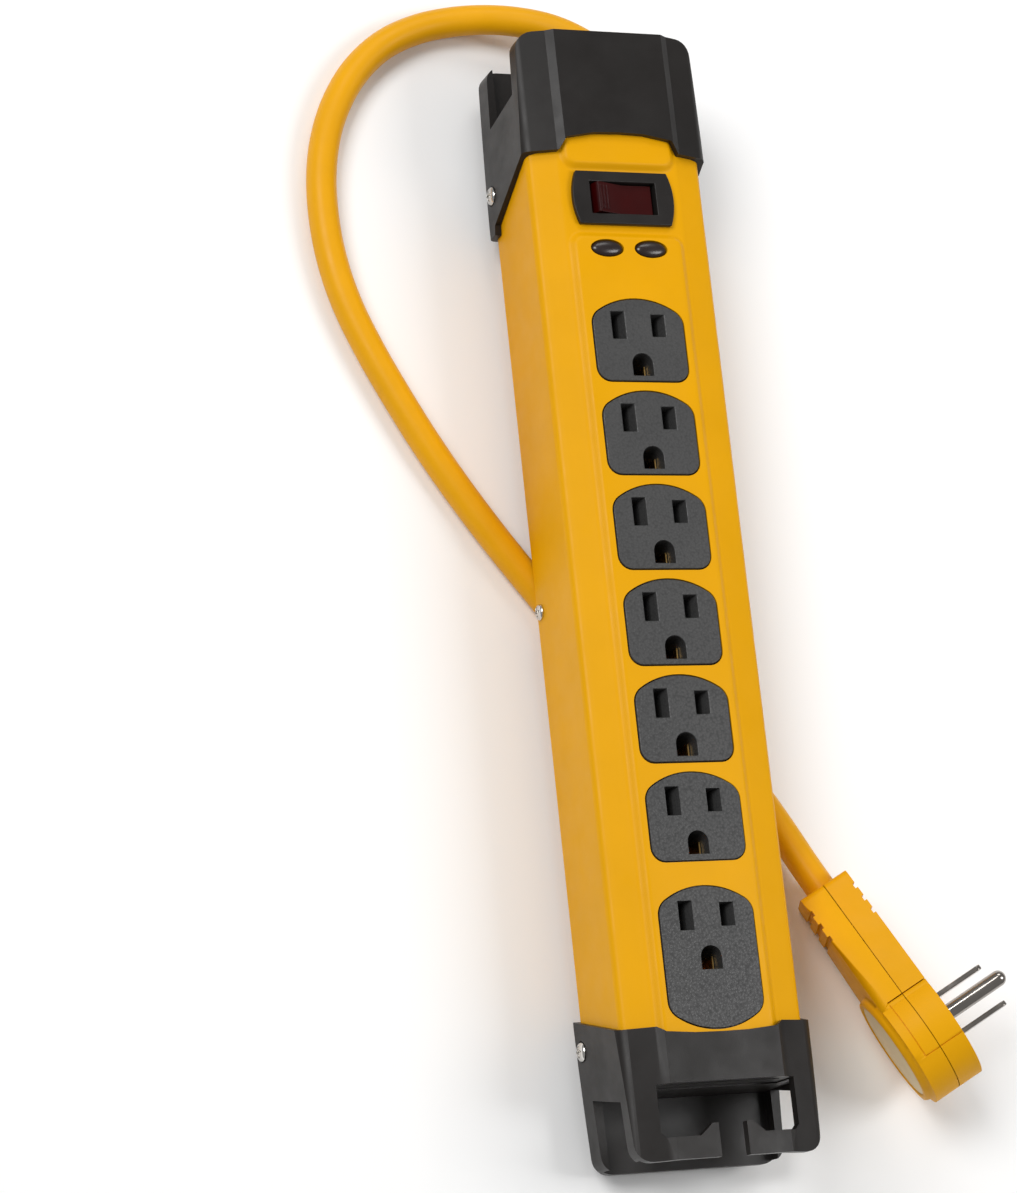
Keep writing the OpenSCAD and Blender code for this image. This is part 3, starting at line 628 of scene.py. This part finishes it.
relief_line = smooth_line(RELIEF, 16)
steps = len(relief_line) - 1
radii = []
for i in range(steps + 1):
    f = i / steps
    r = RELIEF_R + (RELIEF_END_R - RELIEF_R) * f
    if RINGS_FROM < f < RINGS_TO and int(f * RING_BANDS) % 2 == 0:
        r -= RING_DEPTH
    radii.append(r * MM)
verts, faces = swept(relief_line, radii)
relief = piece_from("strain_relief_boot", verts, faces, "cord_yellow", "strip", 50.0)
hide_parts("strain_relief")

# ---------------------------------------------------------------- plug

spin = next(j for j in RECORD["behaviour"]["joints"] if j["name"] == "prong_spin")
HEAD = Vector(spin["pos_m"])
OUT = Vector(spin["axis"]).normalized()
along = ROUTE[-1] - HEAD
TAIL = (along - along.dot(OUT) * OUT).normalized()
TOP = OUT.cross(TAIL)
PLUG = Matrix.Translation(HEAD) @ Matrix((TAIL, TOP, OUT)).transposed().to_4x4()


GROOVE = 0.35                   # width and depth of the grooves round the disc's housing
HEAD_R = 19.0
GROOVE_LOW, GROOVE_HIGH = -5.2, 8.6
CROSS_GROOVES = ((11.3, 14.7), (-7.35, 17.2))   # along the plug, and where each starts across it
RING_FROM, RING_TO = 56, 112                    # degrees round the head, between those two
CUTTER_OUT = 22


def groove_box(x, y_from, side):
    """A thin straight cutter across the rim, on one side."""
    lo, hi = sorted((side * y_from, side * CUTTER_OUT))
    corners = [(x, lo), (x + GROOVE, lo), (x + GROOVE, hi), (x, hi)]
    verts, faces = prism(corners, 0, 0, GROOVE_LOW, GROOVE_HIGH)
    return [PLUG @ v for v in verts], faces


def groove_ring(side, n=14):
    """A thin curved cutter along the head's rim, on one side."""
    r = HEAD_R - GROOVE
    inner = arc(0, 0, r, RING_FROM, RING_TO, n)
    outer = arc(0, 0, r + 4, RING_TO, RING_FROM, n)
    pts = [(x, side * y) for x, y in inner + outer]
    if side > 0:
        pts.reverse()
    verts, faces = prism(pts, 0, 0, GROOVE_LOW, GROOVE_LOW + GROOVE)
    return [PLUG @ v for v in verts], faces


def rim_grooves():
    """The outline of the disc's housing, on both sides of the head's rim."""
    parts = []
    for side in (-1, 1):
        parts += [groove_box(x, y_from, side) for x, y_from in CROSS_GROOVES]
        parts.append(groove_ring(side))
    return parts


front = refined("plug_front_shell", 0.7, 3, 38)
rear = refined("plug_back_shell", 0.7, 3, 38)
for shell in (front, rear):
    cutter = merged("rim_grooves", rim_grooves())
    cut(shell, cutter, "grooves")
    settled(shell)
    bpy.data.objects.remove(cutter)
    without_slivers(shell.data)
    dress(shell, "plug_yellow", "strip", 38.0)
    evened(shell)
label = refined("plug_label", 0.15, 2, 40)
disc = refined("plug_disc", 0.35, 3, 38)
blade_a = refined("hot_blade", 0.3, 3, 40)
blade_b = refined("neutral_blade", 0.3, 3, 40)
pin = refined("ground_pin", 0.1, 2, 40)
for prong in (blade_a, blade_b, pin):
    prong.data.materials[0] = PRONG_METAL
plug_screws = refined("plug_screws", 0.12, 2, 35)
cord_piece.data.materials.append(MATERIALS["cord_yellow"])

# ---------------------------------------------------------------- floor and light

FLOOR_SIZE = 12.0
WORLD_STRENGTH = 0.3

floor_mat, nodes, links, bsdf = new_material("floor_paper")
coords = nodes.new("ShaderNodeTexCoord")
tone = ramp(nodes, links, noise(nodes, links, coords, 3.0, 2.0),
            [(0.3, (0.93, 0.93, 0.93, 1)), (0.7, (0.95, 0.95, 0.945, 1))])
links.new(tone, bsdf.inputs["Base Color"])
bsdf.inputs["Roughness"].default_value = 0.9
bsdf.inputs["Specular IOR Level"].default_value = 0.1
bpy.ops.mesh.primitive_plane_add(size=FLOOR_SIZE, location=(0, 0, 0))
floor = bpy.context.active_object
floor.name = "floor"
floor.data.materials.append(floor_mat)

world = bpy.data.worlds.new("studio")
scene.world = world
world.use_nodes = True
background = world.node_tree.nodes["Background"]
background.inputs["Color"].default_value = (1.0, 1.0, 1.0, 1)
background.inputs["Strength"].default_value = WORLD_STRENGTH


def softbox(name, at, aim, size, power):
    """A rectangular light of a size in metres and a power in watts."""
    light = bpy.data.lights.new(name, "AREA")
    light.shape = "RECTANGLE"
    light.size, light.size_y = size
    light.energy = power
    o = link(bpy.data.objects.new(name, light))
    o.location = at
    o.rotation_mode = "QUATERNION"
    o.rotation_quaternion = (Vector(aim) - Vector(at)).to_track_quat("-Z", "Y")
    return o


softbox("key", (-1.1, 0.5, 1.5), (0, 0, 0), (0.8, 0.8), 21.0)
softbox("fill", (0.75, -0.14, 1.05), (0, -0.05, 0), (0.45, 0.6), 6.0)
softbox("top", (0.1, 1.3, 1.2), (0, 0.05, 0), (1.0, 0.5), 6.0)
scene.view_settings.view_transform = "Standard"
